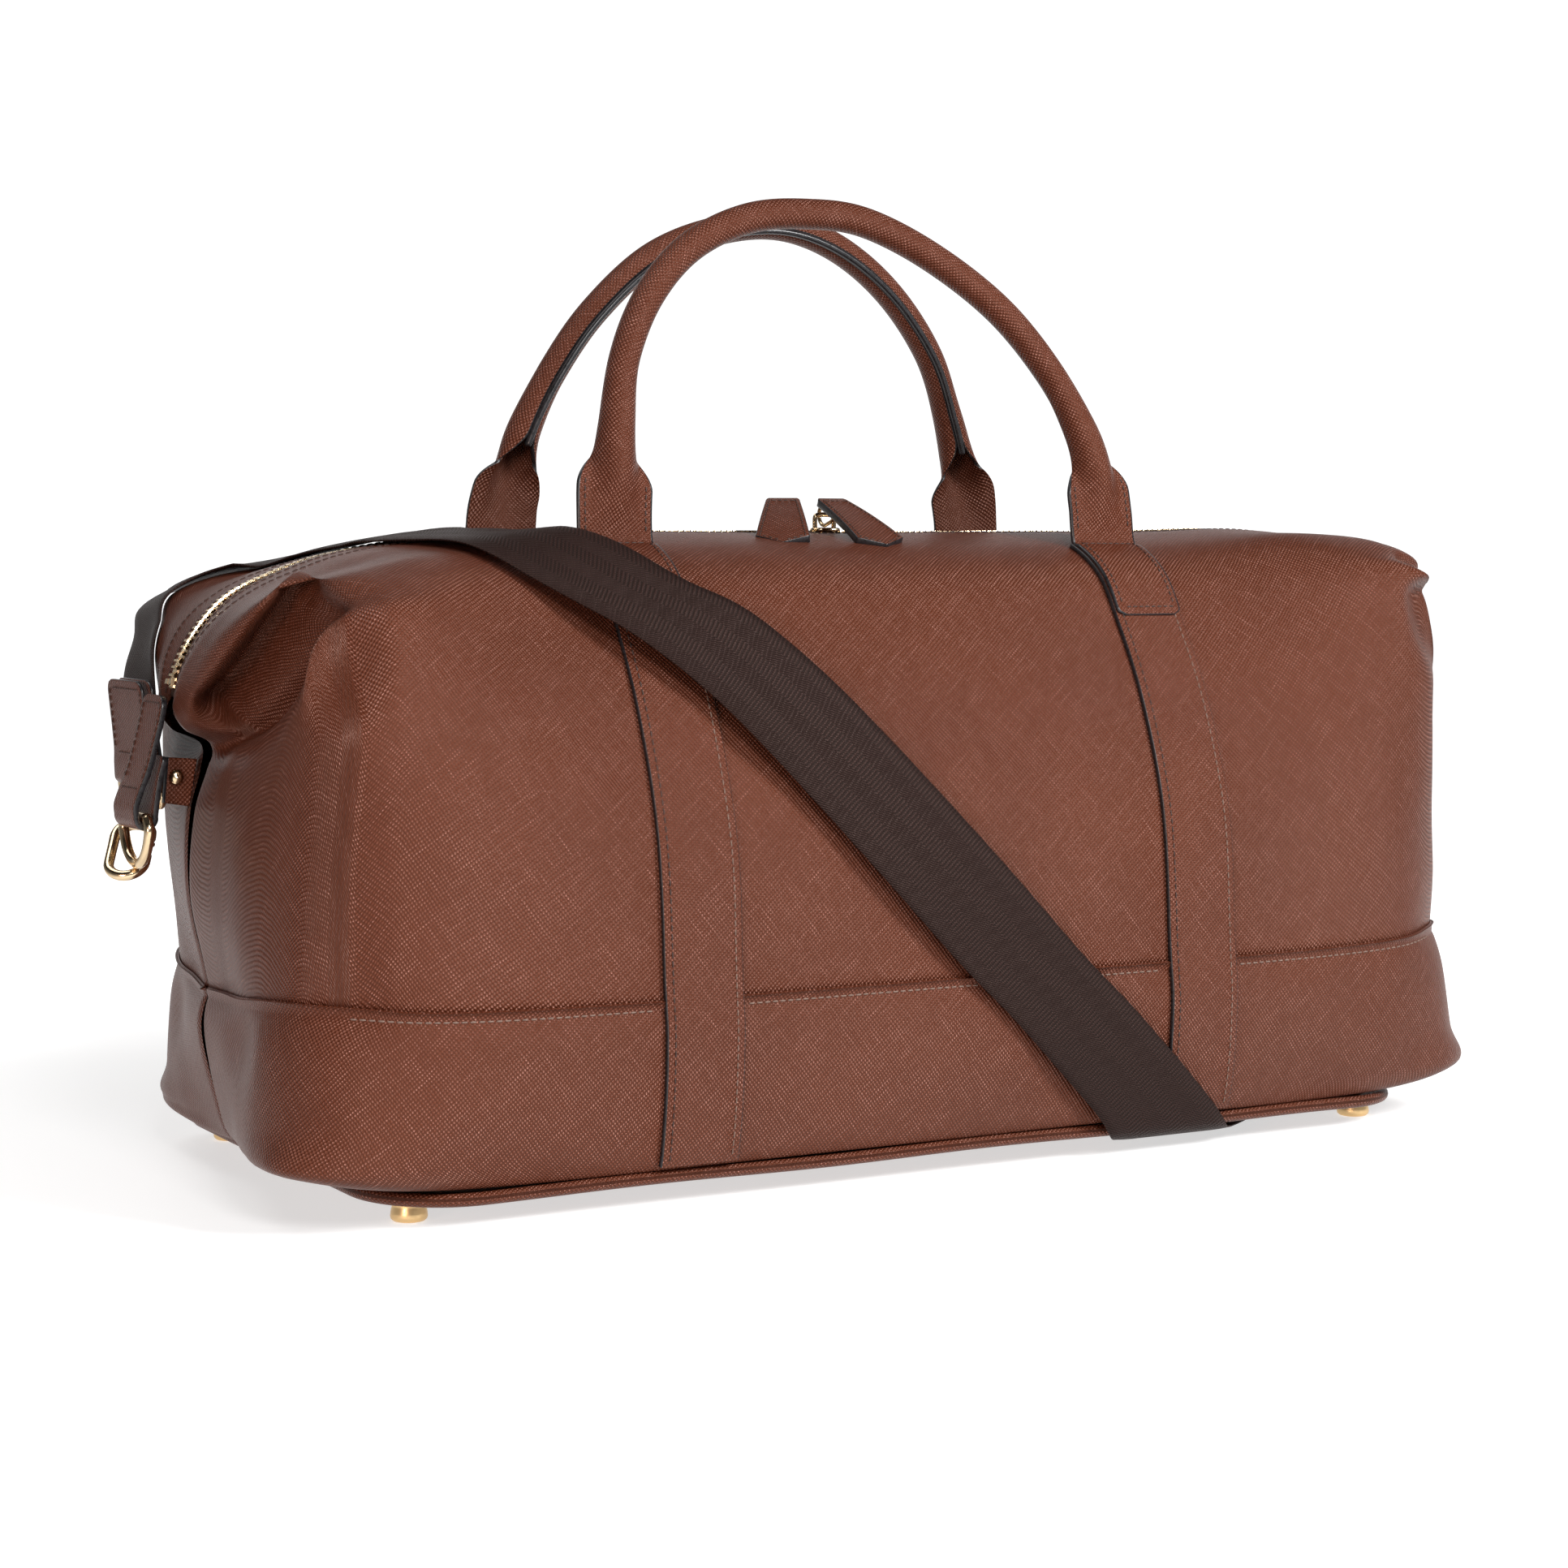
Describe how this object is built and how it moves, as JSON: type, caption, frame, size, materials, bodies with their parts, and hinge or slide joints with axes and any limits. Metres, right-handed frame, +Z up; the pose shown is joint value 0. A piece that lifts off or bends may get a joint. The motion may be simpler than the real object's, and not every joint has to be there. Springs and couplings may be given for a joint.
{
  "type": "weekender bag",
  "caption": "Soft leather weekender bag with a zip top, rolled carry handles, a leather base on metal feet and a webbing shoulder strap wrapped round it.",
  "frame": {"origin": "bottom centre of the bag, on the floor its feet stand on", "axes": "+X along the bag's length towards its right end, -Y towards the front, +Z up"},
  "size_m": [0.5661, 0.2426, 0.3694],
  "materials": {
    "leather": "cross-hatch grain, semi-matt",
    "webbing": "herringbone weave, matt",
    "gold": "polished pale gold plate",
    "zip_tape": "matt woven tape",
    "lining": "matt cotton",
    "board": "matt fibre board",
    "core": "twisted cord"
  },
  "bodies": {
    "bag": {"front_panel": "leather", "front_band": "leather", "back_panel": "leather", "back_band": "leather", "base_panel": "leather", "base_board": "board", "base_piping": "leather", "foot_1": "gold", "foot_2": "gold", "foot_3": "gold", "foot_4": "gold", "foot_washer_1": "gold", "foot_washer_2": "gold", "foot_washer_3": "gold", "foot_washer_4": "gold", "lining": "lining", "inner_pocket": "lining", "front_strip_left": "leather", "front_handle_tab_left": "leather", "front_strip_right": "leather", "front_handle_tab_right": "leather", "back_strip_left": "leather", "back_handle_tab_left": "leather", "back_strip_right": "leather", "back_handle_tab_right": "leather", "zip_tape_front": "zip_tape", "zip_chain_front": "gold", "zip_tape_back": "zip_tape", "zip_chain_back": "gold", "zip_end_tab_left": "leather", "seam_tab_left": "leather", "seam_stud_left": "gold", "strap_end_left": "leather", "strap_eye_left": "gold", "zip_end_tab_right": "leather", "seam_tab_right": "leather", "seam_stud_right": "gold", "strap_end_right": "leather", "strap_eye_right": "gold", "shoulder_strap": "webbing"},
    "handle_front": {"handle_front": "leather", "handle_core_front": "core"},
    "handle_back": {"handle_back": "leather", "handle_core_back": "core"},
    "slider_left": {"zip_slider_left": "gold"},
    "pull_left": {"zip_pull_link_left": "gold", "zip_pull_fob_left": "leather"},
    "slider_right": {"zip_slider_right": "gold"},
    "pull_right": {"zip_pull_link_right": "gold", "zip_pull_fob_right": "leather"},
    "ring_left": {"zip_end_ring_left": "gold"},
    "hook_left": {"strap_hook_left": "gold"},
    "gate_left": {"strap_hook_gate_left": "gold"},
    "ring_right": {"zip_end_ring_right": "gold"},
    "hook_right": {"strap_hook_right": "gold"},
    "gate_right": {"strap_hook_gate_right": "gold"},
    "adjuster": {"strap_adjuster": "gold"}
  },
  "joints": [
    {"name": "handle_front_fold", "type": "hinge", "parent": "bag", "child": "handle_front", "pos_m": [0, -0.049, 0.241], "axis": [1, 0, 0], "range_deg": [-12, 58]},
    {"name": "handle_back_fold", "type": "hinge", "parent": "bag", "child": "handle_back", "pos_m": [0, 0.049, 0.241], "axis": [1, 0, 0], "range_deg": [-58, 12]},
    {"name": "slider_left_run", "type": "slide", "parent": "bag", "child": "slider_left", "axis": [-1, 0, 0], "range_m": [0, 0.05]},
    {"name": "pull_left_lift", "type": "hinge", "parent": "slider_left", "child": "pull_left", "pos_m": [-0.0095, 0, 0.24485], "axis": [-0.8678, 0.4969, 0], "range_deg": [0, 100]},
    {"name": "slider_right_run", "type": "slide", "parent": "bag", "child": "slider_right", "axis": [1, 0, 0], "range_m": [0, 0.065]},
    {"name": "pull_right_lift", "type": "hinge", "parent": "slider_right", "child": "pull_right", "pos_m": [0.0095, 0, 0.24485], "axis": [-1, 0, 0], "range_deg": [0, 100]},
    {"name": "ring_left_swing", "type": "hinge", "parent": "bag", "child": "ring_left", "pos_m": [-0.2748, 0, 0.1365], "axis": [0, 1, 0], "range_deg": [-4, 4]},
    {"name": "hook_left_swivel", "type": "hinge", "parent": "bag", "child": "hook_left", "pos_m": [-0.2625, 0.0315, 0.139], "axis": [-0.3946, -0.6577, -0.6417], "range_deg": [-6, 6]},
    {"name": "gate_left_press", "type": "hinge", "parent": "hook_left", "child": "gate_left", "pos_m": [-0.2659, 0.01554, 0.12636], "axis": [0.3645, 0.529, -0.7664], "range_deg": [0, 25], "stiffness_Nm_per_rad": 0.004},
    {"name": "ring_right_swing", "type": "hinge", "parent": "bag", "child": "ring_right", "pos_m": [0.2748, 0, 0.1476], "axis": [0, 1, 0], "range_deg": [-4, 4]},
    {"name": "hook_right_swivel", "type": "hinge", "parent": "bag", "child": "hook_right", "pos_m": [0.2748, 0, 0.0975], "axis": [0, 0, 1], "range_deg": [-15, 15]},
    {"name": "gate_right_press", "type": "hinge", "parent": "hook_right", "child": "gate_right", "pos_m": [0.2801, 0, 0.11745], "axis": [0, -1, 0], "range_deg": [0, 25], "stiffness_Nm_per_rad": 0.004},
    {"name": "adjuster_slide", "type": "slide", "parent": "bag", "child": "adjuster", "axis": [0.1068, 0, 0.9943], "range_m": [-0.003, 0.004]}
  ]
}
